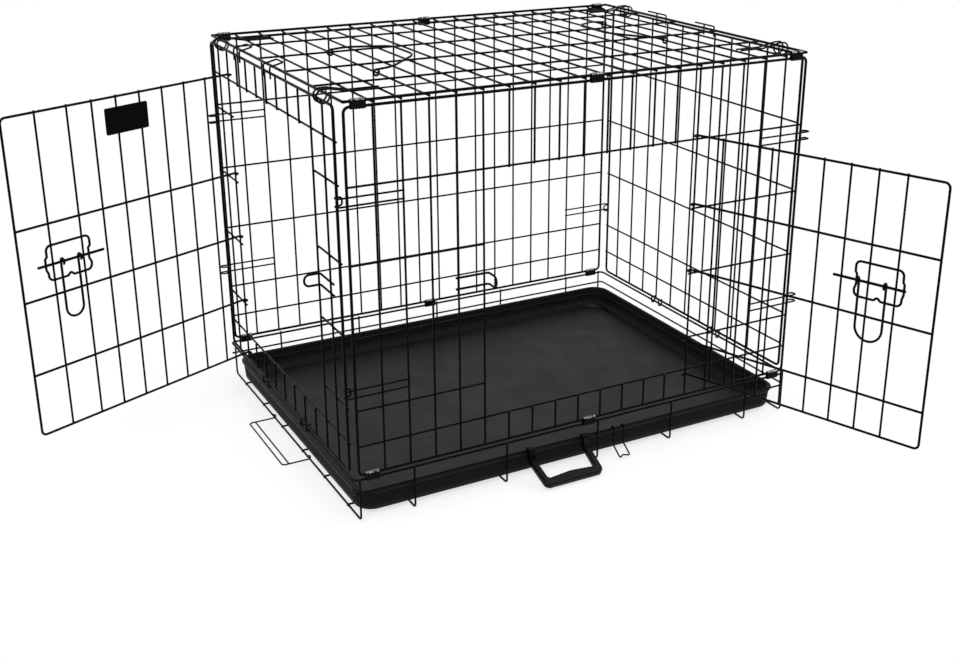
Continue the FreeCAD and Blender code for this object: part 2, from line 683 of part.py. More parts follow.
def handle():
    """A moulded carry handle with two ears that turn on the lower rim."""
    half = HANDLE_SPAN / 2
    wide = HANDLE_ARM / 2
    tip = HANDLE_LENGTH
    narrow = half - HANDLE_TAPER
    inner = tip - HANDLE_GRIP
    neck = inner + HANDLE_SWELL
    lift = vec(0, 0, HANDLE_THICK)
    outline = [(-half - wide, 0, 0), (half + wide, 0, 0), (narrow + wide, tip, 0), (-narrow - wide, tip, 0)]
    bends = [HANDLE_END_BEND, HANDLE_END_BEND, HANDLE_TIP_BEND, HANDLE_TIP_BEND]
    body = Part.Face(Part.Wire(bend_edges(outline, bends, closed=True))).extrude(lift)
    hole = [(-half + wide, -wide, 0), (half - wide, -wide, 0), (narrow - wide, neck, 0), (0, inner, 0)]
    hole.append((-narrow + wide, neck, 0))
    bends = [HANDLE_ROUND, HANDLE_ROUND, HANDLE_NECK_BEND, HANDLE_SWELL_BEND, HANDLE_NECK_BEND]
    body = body.cut(Part.Face(Part.Wire(bend_edges(hole, bends, closed=True))).extrude(lift))
    body.translate(lift * -0.5)
    rims = [e for e in body.Edges if abs(abs(e.CenterOfMass.z) - HANDLE_THICK / 2) < SEAT_GAP]
    body = body.makeFillet(HANDLE_ROUND, [e for e in rims if e.CenterOfMass.y > HANDLE_ARM])
    body.rotate(vec(0, 0, 0), vec(1, 0, 0), 180 + HANDLE_DROOP)
    body.translate(vec(0, (HANDLE_STRAP_IN - HANDLE_STRAP_OUT) / 2, -HANDLE_STRAP))
    for side in (-1, 1):
        spot = vec(side * half - wide, 0, 0)
        body = body.fuse(Part.makeCylinder(HANDLE_EAR / 2, HANDLE_ARM, spot, vec(1, 0, 0)))
        spot = vec(side * half - wide, -HANDLE_STRAP_OUT, -HANDLE_STRAP)
        body = body.fuse(Part.makeBox(HANDLE_ARM, HANDLE_STRAP_OUT + HANDLE_STRAP_IN, HANDLE_STRAP, spot))
    bore = Part.makeCylinder(GRID_R + RUN_GAP, 2 * HANDLE_SPAN, vec(-HANDLE_SPAN, 0, 0), vec(1, 0, 0))
    body = body.cut(bore)
    body.translate(vec(HANDLE_X, -LOWER_RIM_Y, LOWER_RIM_Z))
    return [body]


def fold_hook():
    """A two-wire hook on the lower rim that holds the folded crate shut."""
    eye = GRID_R + RUN_GAP + FOLD_HOOK_DIA / 2
    left = FOLD_HOOK_X - FOLD_HOOK_WIDTH / 2
    right = FOLD_HOOK_X + FOLD_HOOK_WIDTH / 2
    y = -LOWER_RIM_Y - eye
    knee = LOWER_RIM_Z - FOLD_HOOK_DROP
    out = y - FOLD_HOOK_REACH
    toe = knee - FOLD_HOOK_TOE
    dent = out + FOLD_HOOK_DENT
    path = [(left, y, LOWER_RIM_Z), (left, y, knee), (left, out, toe), (FOLD_HOOK_X, dent, toe)]
    path += [(right, out, toe), (right, y, knee), (right, y, LOWER_RIM_Z)]
    bends = [0, FOLD_HOOK_KNEE, FOLD_HOOK_BEND, FOLD_HOOK_BEND, FOLD_HOOK_BEND, FOLD_HOOK_KNEE, 0]
    return [eyed_wire(path, bends, FOLD_HOOK_DIA, eye, vec(0, -1, 0))]


FRONT_TURN = 180 + FRONT_DOOR_OPEN
END_TURN = -90 - END_DOOR_OPEN
FRONT_BAR_PITCH = FRONT_DOOR_WIDTH / FRONT_DOOR_BARS[-1]
END_BAR_PITCH = END_DOOR_WIDTH / END_DOOR_BARS[-1]
FRONT_PULL = [FRONT_DOOR_WIDTH - back for back in FRONT_PULL_BACK]
END_PULL = [END_DOOR_WIDTH - back for back in END_PULL_BACK]
# Each catch hangs on the first panel vertical past the bolt's reach and on the next one
FRONT_CATCH_STEP = math.ceil((FRONT_DOOR_WIDTH - FRONT_CATCH_BACK) / FRONT_PITCH)
END_CATCH_STEP = math.ceil((END_DOOR_WIDTH - END_CATCH_BACK) / END_PITCH)
FRONT_CATCH = FRONT_PITCH * FRONT_CATCH_STEP - FRONT_CATCH_IN
END_CATCH = END_PITCH * END_CATCH_STEP - END_CATCH_IN
FRONT_TAIL = FRONT_PITCH * (FRONT_CATCH_STEP + 1) + HOOK_DIA
END_TAIL = END_PITCH * (END_CATCH_STEP + 1) + HOOK_DIA

save("base_frame", base_frame())
save("base_front_clips", [clip(x, -HALF_DEPTH, RIM_Z) for x in CLIP_X])
save("base_back_clips", [clip(x, HALF_DEPTH, RIM_Z) for x in CLIP_X])
save("tray", tray())
save("tray_stop", tray_stop())
save("carry_handle", handle())
save("fold_hook", fold_hook())

save("front_panel", long_panel(-HALF_DEPTH, 1, True))
save("front_corner_hooks", corner_hooks(-HALF_DEPTH, -1, FRONT_HOOK_LEVELS))
front_catch = door_catch(FRONT_CATCH, FRONT_LATCH_Z, 1, FRONT_TAIL)
save("front_door_catch", placed(front_catch, FRONT_HINGE, 180))
save("back_panel", long_panel(HALF_DEPTH, -1, False))
save("back_corner_hooks", corner_hooks(HALF_DEPTH, 1, BACK_HOOK_LEVELS))

save("roof_panel", roof_panel())
save("roof_front_clips", [clip(x, -HALF_DEPTH, PANEL_TOP) for x in CLIP_X])
save("roof_back_clips", [clip(x, HALF_DEPTH, PANEL_TOP) for x in CLIP_X])
save("roof_end_hooks", roof_hooks())
save("roof_end_stops", roof_stops())
save("left_bail", bail(grid_x(BAIL_WIRE_STEPS), 1, LEFT_BAIL_Y))
save("right_bail", bail(grid_x(FRONT_PITCHES - BAIL_WIRE_STEPS), -1, RIGHT_BAIL_Y))

save("left_end_panel", end_panel(-END_X, 1, True))
save("left_end_hinge_loops", hinge_loops(-END_X))
end_catch = door_catch(END_CATCH, END_LATCH_Z, -1, END_TAIL)
save("end_door_catch", placed(end_catch, END_HINGE, -90))
save("right_end_panel", end_panel(END_X, -1, False))
save("right_end_hinge_loops", hinge_loops(END_X))

front_bars = FRONT_DOOR_BARS[:-1]
front_door = door_local(FRONT_DOOR_WIDTH, FRONT_DOOR_RAILS, front_bars, FRONT_BAR_PITCH, 1)
save("front_door", placed(front_door, FRONT_HINGE, FRONT_TURN))
front_guide = latch_guide(FRONT_DOOR_WIDTH - FRONT_GUIDE_BACK, FRONT_LATCH_Z, 1)
front_bolt = latch_bolt(FRONT_DOOR_WIDTH - FRONT_ROD_BACK, FRONT_LATCH_Z, 1)
save("front_latch_guide", placed(front_guide, FRONT_HINGE, FRONT_TURN))
save("front_latch_bolt", placed(front_bolt, FRONT_HINGE, FRONT_TURN))
save("front_latch_pull", placed(latch_pull(FRONT_PULL, FRONT_LATCH_Z, 1), FRONT_HINGE, FRONT_TURN))

end_bars = END_DOOR_BARS[:-1]
end_door = door_local(END_DOOR_WIDTH, END_DOOR_RAILS + (END_DOOR_TOP,), end_bars, END_BAR_PITCH, -1)
save("end_door", placed(end_door, END_HINGE, END_TURN))
end_guide = latch_guide(END_DOOR_WIDTH - END_GUIDE_BACK, END_LATCH_Z, -1)
end_bolt = latch_bolt(END_DOOR_WIDTH - END_ROD_BACK, END_LATCH_Z, -1)
save("end_latch_guide", placed(end_guide, END_HINGE, END_TURN))
save("end_latch_bolt", placed(end_bolt, END_HINGE, END_TURN))
save("end_latch_pull", placed(latch_pull(END_PULL, END_LATCH_Z, -1), END_HINGE, END_TURN))
save("bare_plate", placed(bare_plate(-1), END_HINGE, END_TURN))
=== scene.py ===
"""Dresses the folding dog crate.

Adds its finishes, its smallest forms, the studio light and the photograph's camera.
"""

import json
import logging
import math
from dataclasses import dataclass, field
from enum import Enum
from typing import Any

import bpy
from bpy.types import Material, Node, NodeSocket, NodeTree, Object
from mathutils import Matrix, Vector


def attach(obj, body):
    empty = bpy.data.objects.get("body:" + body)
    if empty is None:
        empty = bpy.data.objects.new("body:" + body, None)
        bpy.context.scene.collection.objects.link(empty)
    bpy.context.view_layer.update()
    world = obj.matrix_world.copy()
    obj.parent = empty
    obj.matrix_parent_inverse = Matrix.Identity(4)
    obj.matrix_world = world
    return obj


LOG = logging.getLogger("dog_crate")
MM = 0.001
POLYMER_IOR = 1.5
BUMP_STRENGTH = 0.4
# Nearly all of a noise texture's values lie between these two.
NOISE_LOW = 0.3
NOISE_HIGH = 0.7
# Radians that a wave texture's bands turn in one unit of its scale.
WAVE_RATE = 20.0

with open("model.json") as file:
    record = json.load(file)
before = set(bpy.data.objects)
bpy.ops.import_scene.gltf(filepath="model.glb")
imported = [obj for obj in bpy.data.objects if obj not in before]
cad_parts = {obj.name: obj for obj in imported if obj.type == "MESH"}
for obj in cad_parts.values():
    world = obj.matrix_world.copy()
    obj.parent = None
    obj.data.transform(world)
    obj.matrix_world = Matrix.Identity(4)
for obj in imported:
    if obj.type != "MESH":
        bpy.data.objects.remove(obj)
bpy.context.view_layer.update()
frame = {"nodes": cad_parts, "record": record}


def srgb(code: str) -> tuple[float, float, float, float]:
    """Turn a hex colour into linear light.

    Args:
        code: six hex digits, with or without a leading hash.

    Returns:
        Linear red, green, blue and an alpha of one.
    """
    digits = code.lstrip("#")
    parts = [int(digits[i:i + 2], 16) / 255 for i in (0, 2, 4)]
    linear = [c / 12.92 if c <= 0.04045 else ((c + 0.055) / 1.055) ** 2.4 for c in parts]
    return (linear[0], linear[1], linear[2], 1.0)


def per_mm(size_mm: float) -> float:
    """Scale of a texture whose feature is that many millimetres across."""
    return 1.0 / (size_mm * MM)


def add_node(tree: NodeTree, kind: str, settings: dict[str | int, Any] | None = None,
             links: dict[str | int, NodeSocket] | None = None) -> Node:
    """Add one shader node.

    Args:
        tree: the node tree that takes it.
        kind: the node's type name.
        settings: values for its sockets by name or number, or for its properties.
        links: output sockets that feed its inputs, by name or number.

    Returns:
        The new node.
    """
    node = tree.nodes.new(kind)
    for key, value in (settings or {}).items():
        if isinstance(key, int) or key in node.inputs:
            node.inputs[key].default_value = value
        else:
            setattr(node, key, value)
    for key, socket in (links or {}).items():
        tree.links.new(socket, node.inputs[key])
    return node


def new_material(name: str) -> tuple[Material, NodeTree, Node]:
    """Start a material from nothing.

    Args:
        name: what the material is called.

    Returns:
        The material, its node tree and its Principled shader.
    """
    material = bpy.data.materials.new(name)
    material.use_nodes = True
    tree = material.node_tree
    tree.nodes.clear()
    shader = add_node(tree, "ShaderNodeBsdfPrincipled")
    add_node(tree, "ShaderNodeOutputMaterial", links={"Surface": shader.outputs["BSDF"]})
    return material, tree, shader


class Slot(Enum):
    """Material slots of the record that this script looks up or fills."""

    WIRE = "coated_wire"
    CLIP = "clip_sheet"
    TRAY = "tray_plastic"


@dataclass(frozen=True)
class PowderCoat:
    """Black polyester powder coat baked on steel.

    The film flows into a deep black with a soft sheen, a faint orange peel and uneven gloss, and
    a little pale dust stays on what faces up. The peel is drawn about twice as coarse as it is,
    to show. Where a steel colour is named, the upward rounds take it in specks with a metal's
    gloss: partly wear through to bright steel, partly a painted highlight along the top.
    A crimp is a faint ripple of the skin that turns one radian in that length.
    """

    name: str = "powder_coated_steel_wire"
    film: str = "#020202"
    thin: str = "#060607"
    dust: str = "#1c1c1f"
    dust_share: float = 0.08
    dust_facing: float = 0.55
    roughness: float = 0.26
    spread: float = 0.14
    specular: float = 0.04
    peel_mm: float = 1.6
    peel_detail: float = 2.0
    cloud_mm: float = 34.0
    cloud_detail: float = 3.0
    depth_mm: float = 0.04
    crimp_mm: float = 0.0
    # Pale steel colour for specks on the upward rounds: part bare steel, part painted highlight.
    worn_and_highlight: str = ""
    worn_and_highlight_mm: float = 2.6
    worn_and_highlight_detail: float = 2.0
    highlight_and_wear_facing: float = 0.5
    worn_and_highlight_edge: tuple[float, float] = (0.4, 0.56)

    def build(self) -> Material:
        """Make the material with a cloudy film, uneven gloss, dust and a rippled skin.

        Returns:
            The material.
        """
        material, tree, shader = new_material(self.name)
        place = add_node(tree, "ShaderNodeTexCoord").outputs["Object"]
        cloud = add_node(tree, "ShaderNodeTexNoise",
                         {"Scale": per_mm(self.cloud_mm), "Detail": self.cloud_detail},
                         {"Vector": place}).outputs["Fac"]
        colour = self.dusty(tree, cloud)
        # Painted highlight and wear: the upward rounds take a pale metal colour in specks.
        if self.worn_and_highlight:
            bare = self.rubbed(tree)
            colour = add_node(tree, "ShaderNodeMix", {"data_type": "RGBA", 7: srgb(self.worn_and_highlight)},
                              {0: bare, 6: colour}).outputs[2]
            tree.links.new(bare, shader.inputs["Metallic"])
        gloss = add_node(tree, "ShaderNodeMapRange",
                         {"From Min": NOISE_LOW, "From Max": NOISE_HIGH,
                          "To Min": self.roughness, "To Max": self.roughness + self.spread},
                         {"Value": cloud})
        bump = add_node(tree, "ShaderNodeBump",
                        {"Strength": BUMP_STRENGTH, "Distance": self.depth_mm * MM},
                        {"Height": self.skin(tree, place)})
        tree.links.new(colour, shader.inputs["Base Color"])
        tree.links.new(gloss.outputs["Result"], shader.inputs["Roughness"])
        tree.links.new(bump.outputs["Normal"], shader.inputs["Normal"])
        shader.inputs["IOR"].default_value = POLYMER_IOR
        shader.inputs["Specular IOR Level"].default_value = self.specular
        return material

    def dusty(self, tree: NodeTree, cloud: NodeSocket) -> NodeSocket:
        """Colour the film and let dust settle on what faces up.

        Args:
            tree: the material's node tree.
            cloud: socket of the cloudy pattern.

        Returns:
            The socket of the colour.
        """
        tint = add_node(tree, "ShaderNodeMix",
                        {"data_type": "RGBA", 6: srgb(self.film), 7: srgb(self.thin)}, {0: cloud})
        facing = add_node(tree, "ShaderNodeSeparateXYZ",
                          links={0: add_node(tree, "ShaderNodeNewGeometry").outputs["Normal"]})
        lying = add_node(tree, "ShaderNodeMapRange",
                         {"From Min": self.dust_facing, "From Max": 1.0,
                          "To Max": self.dust_share}, {"Value": facing.outputs["Z"]})
        settled = add_node(tree, "ShaderNodeMath", {"operation": "MULTIPLY"},
                           {0: lying.outputs["Result"], 1: cloud})
        return add_node(tree, "ShaderNodeMix", {"data_type": "RGBA", 7: srgb(self.dust)},
                        {0: settled.outputs[0], 6: tint.outputs[2]}).outputs[2]

    def skin(self, tree: NodeTree, place: NodeSocket) -> NodeSocket:
        """Ripple the film with orange peel, and with crimps where they are named.

        Args:
            tree: the material's node tree.
            place: socket of the object coordinates.

        Returns:
            The socket of the skin's height.
        """
        peel = add_node(tree, "ShaderNodeTexNoise",
                        {"Scale": per_mm(self.peel_mm), "Detail": self.peel_detail},
                        {"Vector": place}).outputs["Fac"]
        if not self.crimp_mm:
            return peel
        ridges = add_node(tree, "ShaderNodeTexWave",
                          {"Scale": per_mm(self.crimp_mm) / WAVE_RATE, "bands_direction": "X"},
                          {"Vector": place})
        return add_node(tree, "ShaderNodeMath", {"operation": "ADD"},
                        {0: peel, 1: ridges.outputs["Fac"]}).outputs[0]

    def rubbed(self, tree: NodeTree) -> NodeSocket:
        """Find where the film is rubbed through and where a highlight is painted on top.

        Args:
            tree: the material's node tree.

        Returns:
            A socket that is one where bare steel and painted highlight show, nought on sound film.
        """
        coords = add_node(tree, "ShaderNodeTexCoord")
        facing = add_node(tree, "ShaderNodeSeparateXYZ", links={0: coords.outputs["Normal"]})
        specks = add_node(tree, "ShaderNodeTexNoise",
                          {"Scale": per_mm(self.worn_and_highlight_mm), "Detail": self.worn_and_highlight_detail},
                          {"Vector": coords.outputs["Object"]})
        # Painted highlight: the more a face points up, the more it takes the pale steel colour.
        upper = add_node(tree, "ShaderNodeMapRange",
                         {"From Min": 0.0, "From Max": self.highlight_and_wear_facing},
                         {"Value": facing.outputs["Z"]})
        share = add_node(tree, "ShaderNodeMath", {"operation": "MULTIPLY"},
                         {0: upper.outputs["Result"], 1: specks.outputs["Fac"]})
        sound, bare = self.worn_and_highlight_edge
        return add_node(tree, "ShaderNodeMapRange", {"From Min": sound, "From Max": bare},
                        {"Value": share.outputs[0]}).outputs["Result"]


@dataclass(frozen=True)
class MouldedPlastic:
    """Injection-moulded polymer with a spark-eroded grain, scuffed a little where it is touched.

    The grain breaks up the reflections, so that the black looks soft and a little grey where light
    falls on it. Above a named height, where nothing has rubbed it smooth, it is matt and darker.
    """

    name: str
    body: str
    scuffed: str
    roughness: float
    spread: float
    grain_mm: float
    depth_mm: float
    specular: float
    scuff_mm: float = 46.0
    scuff_detail: float = 6.0
    scuff_fray: float = 0.62
    scuff_edge: tuple[float, float] = (0.45, 0.75)
    matt_above_mm: float = 0.0
    matt_blend_mm: float = 3.0
    matt: float = 0.8

    def build(self) -> Material:
        """Make the material with grain, faint scuffs and uneven gloss.

        Returns:
            The material.
        """
        material, tree, shader = new_material(self.name)
        place = add_node(tree, "ShaderNodeTexCoord").outputs["Object"]
        grain = add_node(tree, "ShaderNodeTexVoronoi", {"Scale": per_mm(self.grain_mm)},
                         {"Vector": place})
        cloud = add_node(tree, "ShaderNodeTexNoise",
                         {"Scale": per_mm(self.scuff_mm), "Detail": self.scuff_detail,
                          "Roughness": self.scuff_fray}, {"Vector": place}).outputs["Fac"]
        sound, scuffed = self.scuff_edge
        share = add_node(tree, "ShaderNodeMapRange", {"From Min": sound, "From Max": scuffed},
                         {"Value": cloud})
        tint = add_node(tree, "ShaderNodeMix",
                        {"data_type": "RGBA", 6: srgb(self.body), 7: srgb(self.scuffed)},
                        {0: share.outputs["Result"]})
        gloss = add_node(tree, "ShaderNodeMapRange",
                         {"From Min": NOISE_LOW, "From Max": NOISE_HIGH,
                          "To Min": self.roughness, "To Max": self.roughness + self.spread},
                         {"Value": cloud}).outputs["Result"]
        if self.matt_above_mm:
            gloss = self.border(tree, place, gloss)
        bump = add_node(tree, "ShaderNodeBump",
                        {"Strength": BUMP_STRENGTH, "Distance": self.depth_mm * MM},
                        {"Height": grain.outputs["Distance"]})
        tree.links.new(tint.outputs[2], shader.inputs["Base Color"])
        tree.links.new(gloss, shader.inputs["Roughness"])
        tree.links.new(bump.outputs["Normal"], shader.inputs["Normal"])
        shader.inputs["IOR"].default_value = POLYMER_IOR
        shader.inputs["Specular IOR Level"].default_value = self.specular
        return material

    def border(self, tree: NodeTree, place: NodeSocket, gloss: NodeSocket) -> NodeSocket:
        """Leave the border above the floor matt.

        Args:
            tree: the material's node tree.
            place: socket of the object coordinates.
            gloss: socket of the floor's roughness.

        Returns:
            The socket of the roughness.
        """
        axes = add_node(tree, "ShaderNodeSeparateXYZ", links={"Vector": place})
        share = add_node(tree, "ShaderNodeMapRange",
                         {"From Min": (self.matt_above_mm - self.matt_blend_mm) * MM,
                          "From Max": self.matt_above_mm * MM}, {"Value": axes.outputs["Z"]})
        return add_node(tree, "ShaderNodeMix", {"data_type": "FLOAT", 3: self.matt},
                        {0: share.outputs["Result"], 2: gloss}).outputs[0]


def dress(node: str, material: Material) -> None:
    """Put one material on a CAD node.

    Args:
        node: the node's name.
        material: the material it wears.
    """
    target = frame["nodes"][node]
    target.data.materials.clear()
    target.data.materials.append(material)


def gather(pieces: list[Object], name: str, body: str, material: Material) -> str:
    """Join copies into one piece that rides on a body.

    Args:
        pieces: the objects to join.
        name: what the joined piece is called.
        body: the body it rides on.
        material: the finish it wears.

    Returns:
        The joined piece's name.
    """
    bpy.ops.object.select_all(action="DESELECT")
    for piece in pieces:
        piece.select_set(True)
    bpy.context.view_layer.objects.active = pieces[0]
    bpy.ops.object.join()
    joined = bpy.context.view_layer.objects.active
    bpy.ops.object.transform_apply(location=True, rotation=True, scale=True)
    bpy.ops.object.shade_smooth()
    joined.name = name
    joined.data.materials.clear()
    joined.data.materials.append(material)
    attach(joined, body)
    return joined.name


def repeat(piece: Object, step: Vector, count: int) -> None:
    """Copy the active piece along a line, within its own mesh.

    Args:
        piece: the piece, which is the active object.
        step: from one copy to the next, in millimetres.
        count: how many there are in the end.
    """
    array = piece.modifiers.new("row", "ARRAY")
    array.use_relative_offset = False
    array.use_constant_offset = True
    array.constant_offset_displace = step * MM
    array.count = count
    bpy.ops.object.modifier_apply(modifier=array.name)


@dataclass
class Wirework:
    """All the coated wire and folded strip of the crate."""

    wire: PowderCoat = field(default_factory=PowderCoat)
    # The strip's pale steel specks on its top rounds are partly wear, partly a painted highlight.
    strip: PowderCoat = field(default_factory=lambda: PowderCoat(
        name="powder_coated_steel_strip", film="#020202", thin="#070708", roughness=0.16,
        specular=0.07, cloud_mm=18.0, crimp_mm=4.0, depth_mm=0.08, worn_and_highlight="#8d8f92"))

    def build(self) -> tuple[list[str], Material, Material]:
        """Dress the wire nodes and the clips.

        Returns:
            The nodes that were dressed, and the materials of the wire and of the strip.
        """
        wire = self.wire.build()
        strip = self.strip.build()
        finishes = {Slot.WIRE.value: wire, Slot.CLIP.value: strip}
        nodes = []
        for entry in frame["record"]["subparts"]:
            if entry["material_slot"] in finishes:
                dress(entry["node"], finishes[entry["material_slot"]])
                nodes.append(entry["node"])
        return nodes, wire, strip


@dataclass(frozen=True)
class DoorGrid:
    """Rails and bars of a door as it stands open, in millimetres and degrees.

    The heading runs from the hinge to the free edge, and side is the way that the bars face.
    """

    rails: tuple[float, ...]
    pitch: float
    bars: int
    heading: float
    side: int
    further: tuple[float, ...] = ()


@dataclass
class Welds:
    """Fused beads where the wires cross, one piece for each body, in millimetres."""

    bead: float = 1.7
    flat: float = 0.85
    around: int = 8
    rings: int = 5
    pitch: float = 31.2
    pitches: int = 19
    half_depth: float = 223.0
    end_x: float = 302.3
    end_half: float = 216.0
    end_pitches: int = 12
    bottom: float = 57.5
    top: float = 467.5
    sill: float = 91.0
    header: float = 384.5
    end_header: float = 430.0
    levels: tuple[float, ...] = (134.0, 217.5, 300.0)
    doorway: tuple[int, int] = (5, 14)
    end_doorway: tuple[int, int] = (2, 10)
    sink: float = 1.05
    roof_z: float = 471.75
    roof_gaps: int = 5
    floor_z: float = 2.25
    cross_x: tuple[float, ...] = (-297.0, -231.0, -113.0, 12.0, 120.0, 237.0, 297.0)
    long_y: tuple[float, ...] = (-186.0, -111.6, -37.2, 37.2, 111.6, 186.0)
    rims_z: tuple[float, float] = (35.5, 51.8)
    rim_y: float = 224.25
    rail_out: float = 4.25
    front_door: DoorGrid = DoorGrid(
        rails=(84.5, 129.0, 222.0, 305.3, 388.7), pitch=32.381, bars=8, heading=290.0, side=1)
    end_door: DoorGrid = DoorGrid(
        rails=(66.0, 140.5, 228.0, 311.5, 437.0), pitch=32.094, bars=7, heading=-156.5, side=-1,
        further=(264.46,))

    @property
    def left(self) -> float:
        """X of the left edge of the long panels and the roof."""
        return -self.pitch * self.pitches / 2

    @property
    def end_pitch(self) -> float:
        """Spacing of the bars of the end panels."""
        return 2 * self.end_half / self.end_pitches

    def row(self, start: Vector, step: Vector, count: int) -> Object:
        """Lay one straight row of beads.

        Args:
            start: centre of the first bead, in millimetres.
            step: from one bead to the next.
            count: how many beads.

        Returns:
            The row as one object.
        """
        bpy.ops.object.select_all(action="DESELECT")
        bpy.ops.mesh.primitive_uv_sphere_add(segments=self.around, ring_count=self.rings,
                                             radius=self.bead * MM, location=start * MM)
        bead = bpy.context.object
        bpy.ops.object.mode_set(mode="EDIT")
        bpy.ops.mesh.select_all(action="SELECT")
        bpy.ops.transform.resize(value=(1.0, 1.0, self.flat))
        bpy.ops.object.mode_set(mode="OBJECT")
        if count > 1:
            repeat(bead, step, count)
        return bead

    def long_panel(self, y: float, inward: int, open_side: bool) -> list[Object]:
        """Lay the beads of the front or the back panel.

        Args:
            y: where the panel stands.
            inward: 1 or -1, the way to the crate's middle.
            open_side: whether the panel has the doorway.

        Returns:
            The rows of beads.
        """
        spot = y + inward * self.sink
        near = self.left + self.pitch
        step = Vector((self.pitch, 0, 0))
        every = self.pitches - 1
        rows = [self.row(Vector((near, spot, z)), step, every) for z in (self.sill, self.header)]
        rows += [self.row(Vector((near, y, z)), step, every) for z in (self.bottom, self.top)]
        first, last = self.doorway
        beyond = self.left + self.pitch * last
        for z in self.levels:
            if open_side:
                rows.append(self.row(Vector((near, spot, z)), step, first))
                rows.append(self.row(Vector((beyond, spot, z)), step, self.pitches - last))
            else:
                rows.append(self.row(Vector((near, spot, z)), step, every))
        return rows

    def end_panel(self, x: float, inward: int, open_end: bool) -> list[Object]:
        """Lay the beads of one end panel.

        Args:
            x: where the panel stands.
            inward: 1 or -1, the way to the crate's middle.
            open_end: whether the panel has the doorway.

        Returns:
            The rows of beads.
        """
        spot = x + inward * self.sink
        near = -self.end_half + self.end_pitch
        step = Vector((0, self.end_pitch, 0))
        every = self.end_pitches - 1
        rows = [self.row(Vector((x, near, z)), step, every) for z in (self.bottom, self.top)]
        first, last = self.end_doorway
        beyond = -self.end_half + self.end_pitch * last
        full = (self.sill, self.end_header) if open_end else (self.sill,)
        rows += [self.row(Vector((spot, near, z)), step, every) for z in full]
        for z in self.levels + (self.header,):
            if open_end:
                rows.append(self.row(Vector((spot, near, z)), step, first))
                rows.append(self.row(Vector((spot, beyond, z)), step, self.end_pitches - last))
            else:
                rows.append(self.row(Vector((spot, near, z)), step, every))
        return rows

    def roof(self) -> list[Object]:
        """Lay the beads of the roof.

        Returns:
            The rows of beads.
        """
        near = self.left + self.pitch
        step = Vector((self.pitch, 0, 0))
        gap = 2 * self.half_depth / self.roof_gaps
        lines = [-self.half_depth + gap * i for i in range(self.roof_gaps + 1)]
        return [self.row(Vector((near, y, self.roof_z)), step, self.pitches - 1) for y in lines]

    def base(self) -> list[Object]:
        """Lay the beads of the base.

        Returns:
            The rows of beads.
        """
        first, second = self.long_y[:2]
        step = Vector((0, second - first, 0))
        over = Vector((0, 2 * self.rim_y, 0))
        rows = [self.row(Vector((x, first, self.floor_z)), step, len(self.long_y))
                for x in self.cross_x]
        rows += [self.row(Vector((x, -self.rim_y, z)), over, 2)
                 for x in self.cross_x[1:-1] for z in self.rims_z]
        return rows

    def door(self, hinge: tuple[float, float], grid: DoorGrid) -> list[Object]:
        """Lay the beads of a door that stands open.

        Args:
            hinge: the hinge line's X and Y.
            grid: the door's rails and bars.

        Returns:
            The rows of beads.
        """
        turn = math.radians(grid.heading)
        along = Vector((math.cos(turn), math.sin(turn), 0))
        out = Vector((-math.sin(turn), math.cos(turn), 0)) * grid.side * self.rail_out
        rows = []
        for z in grid.rails:
            foot = Vector((*hinge, z)) + out
            rows.append(self.row(foot + along * grid.pitch, along * grid.pitch, grid.bars))
            rows += [self.row(foot + along * far, along, 1) for far in grid.further]
        return rows

    def build(self, material: Material) -> list[str]:
        """Make the beads of every welded body.

        Args:
            material: the wire's finish.

        Returns:
            The names of the pieces.
        """
        front_hinge = (self.left + self.pitch * self.doorway[1], -self.half_depth)
        end_hinge = (-self.end_x, -self.end_half + self.end_pitch * self.end_doorway[1])
        sets = {
            "front": self.long_panel(-self.half_depth, 1, True),
            "back": self.long_panel(self.half_depth, -1, False),
            "left_end": self.end_panel(-self.end_x, 1, True),
            "right_end": self.end_panel(self.end_x, -1, False),
            "roof": self.roof(),
            "base": self.base(),
            "front_door": self.door(front_hinge, self.front_door),
            "end_door": self.door(end_hinge, self.end_door),
        }
        return [gather(rows, body + "_weld_beads", body, material)
                for body, rows in sets.items()]


@dataclass
class Crimps:
    """Rounded bands pressed into the hinge clips, one piece for each body, in millimetres."""

    reach: float = 2.5
    band: float = 0.7
    spread: float = 5.7
    gap: float = 3.6
    bands: int = 4
    clip_step: float = 280.8
    clips: int = 3
    half_depth: float = 223.0
    rim_z: float = 51.8
    roof_z: float = 467.5
    around: int = 12
    across: int = 6

    def row(self, y: float, z: float) -> Object:
        """Press the bands of one row of clips.

        Args:
            y: the row's place across the crate.
            z: height of the clips' lower wire.

        Returns:
            The row as one object.
        """
        start = Vector((-self.clip_step - self.gap * (self.bands - 1) / 2, y, z)) * MM
        bpy.ops.object.select_all(action="DESELECT")
        bpy.ops.mesh.primitive_torus_add(
            major_segments=self.around, minor_segments=self.across, major_radius=self.reach * MM,
            minor_radius=self.band * MM, location=start, rotation=(0, math.pi / 2, 0))
        band = bpy.context.object
        bpy.ops.object.transform_apply(location=False, rotation=True, scale=False)
        bpy.ops.object.mode_set(mode="EDIT")
        bpy.ops.mesh.select_all(action="SELECT")
        bpy.ops.transform.rotate(value=math.pi / self.around, orient_axis="X",
                                 center_override=start)
        bpy.ops.mesh.select_all(action="DESELECT")
        bpy.ops.object.mode_set(mode="OBJECT")
        for vertex in band.data.vertices:
            vertex.select = vertex.co.z > 0
        bpy.ops.object.mode_set(mode="EDIT")
        bpy.ops.transform.translate(value=(0, 0, self.spread * MM))
        bpy.ops.object.mode_set(mode="OBJECT")
        repeat(band, Vector((self.gap, 0, 0)), self.bands)
        repeat(band, Vector((self.clip_step, 0, 0)), self.clips)
        return band

    def build(self, material: Material) -> list[str]:
        """Press the bands of all four rows of clips.

        Args:
            material: the strip's finish.

        Returns:
            The names of the pieces.
        """
        names = []
        for body, z in (("base", self.rim_z), ("roof", self.roof_z)):
            rows = [self.row(y, z) for y in (-self.half_depth, self.half_depth)]
            names.append(gather(rows, body + "_clip_crimps", body, material))
        return names


